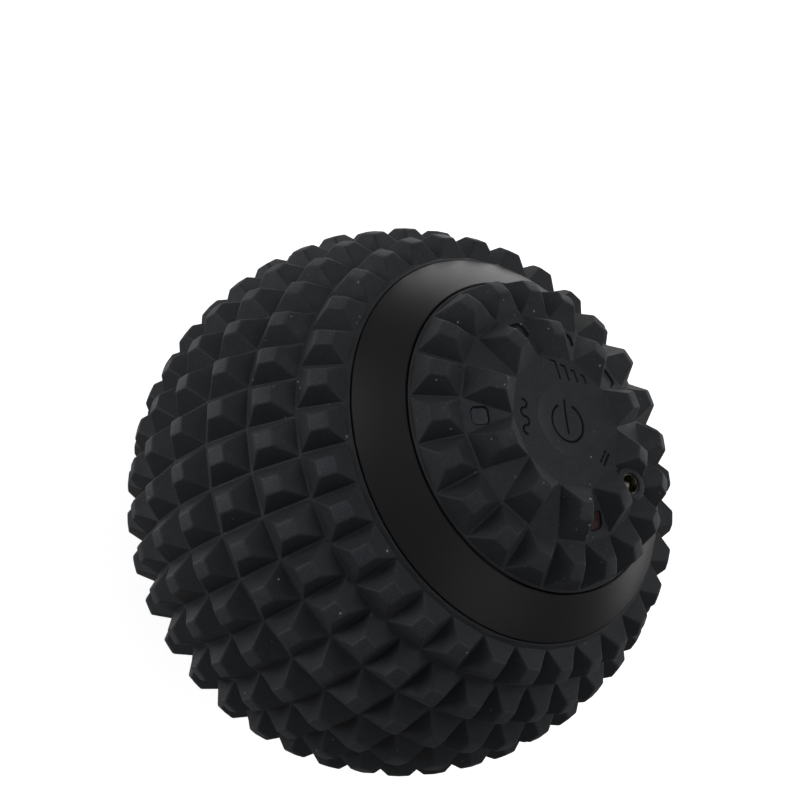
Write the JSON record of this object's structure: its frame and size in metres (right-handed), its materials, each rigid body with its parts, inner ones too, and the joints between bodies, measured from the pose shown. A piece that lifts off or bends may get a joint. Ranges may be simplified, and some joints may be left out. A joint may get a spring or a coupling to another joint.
{
  "type": "massage ball",
  "caption": "Vibrating massage ball: studded silicone skin with smooth plastic bands, and a flat control face with a dished power button, indicator windows and a charging socket.",
  "frame": {"origin": "centre of the ball, which is the centre of its bounding box", "axes": "+Z out through the power button, square to the flat control face; +X towards the charging socket"},
  "size_m": [0.1268, 0.1268, 0.121],
  "materials": {
    "silicone": "matte, fine dust",
    "key_silicone": "matte",
    "band_plastic": "satin black",
    "inner_plastic": "matte grey black",
    "cradle_plastic": "matte grey",
    "seal_rubber": "matte",
    "damper_rubber": "matte",
    "level_lens": "smoked",
    "mode_lens": "smoked blue",
    "charge_lens": "smoked red",
    "lamp": "clear yellowish white",
    "board": "green solder mask",
    "chip": "matte black",
    "plug_nylon": "off-white nylon",
    "actuator": "red",
    "screw_steel": "zinc plated",
    "nickel": "nickel plated",
    "contact": "nickel plated brass",
    "cell": "blue shrink sleeve",
    "lead_insulation": "red insulation",
    "can_steel": "zinc plated",
    "shaft_steel": "ground",
    "magnet": "dark ferrite",
    "carbon": "carbon",
    "core": "laminations with copper windings",
    "bearing_bronze": "sintered bronze",
    "weight_brass": "machined"
  },
  "bodies": {
    "ball": {"main_sleeve": "silicone", "control_cap": "silicone", "far_cap": "silicone", "upper_housing": "band_plastic", "lower_housing": "band_plastic", "housing_seal": "seal_rubber", "housing_screws": "screw_steel", "control_board": "board", "board_screws": "screw_steel", "board_chips": "chip", "lead_connectors": "plug_nylon", "switch_body": "inner_plastic", "level_leds": "lamp", "mode_led": "lamp", "charge_led": "lamp", "level_windows": "level_lens", "mode_window": "mode_lens", "charge_window": "charge_lens", "dc_jack_body": "inner_plastic", "dc_jack_sleeve": "contact", "dc_pin": "contact", "cradle_upper": "cradle_plastic", "cradle_lower": "cradle_plastic", "battery_cells": "cell", "cell_straps": "nickel", "cell_pads": "damper_rubber", "battery_leads": "lead_insulation", "motor_leads": "lead_insulation", "motor_can": "can_steel", "motor_end_bell": "inner_plastic", "motor_magnets": "magnet", "motor_brushes": "carbon", "motor_bushes": "bearing_bronze", "motor_dampers": "damper_rubber"},
    "button": {"power_button": "key_silicone", "button_plunger": "inner_plastic"},
    "switch_stem": {"switch_actuator": "actuator"},
    "rotor": {"motor_shaft": "shaft_steel", "motor_rotor": "core", "commutator": "contact", "upper_weight": "weight_brass", "lower_weight": "weight_brass", "weight_screws": "screw_steel"}
  },
  "joints": [
    {"name": "power_press", "type": "slide", "parent": "ball", "child": "button", "axis": [0, 0, -1], "range_m": [0, 0.0005], "stiffness_N_per_m": 1500, "springref_m": -0.0005},
    {"name": "switch_press", "type": "slide", "parent": "ball", "child": "switch_stem", "axis": [0, 0, -1], "range_m": [0, 0.0006]},
    {"name": "motor_spin", "type": "hinge", "parent": "ball", "child": "rotor", "pos_m": [0, 0, 0], "axis": [0, 0, 1], "continuous": true}
  ],
  "couplings": [
    {"joint": "switch_press", "follows": "power_press", "ratio": 1}
  ]
}
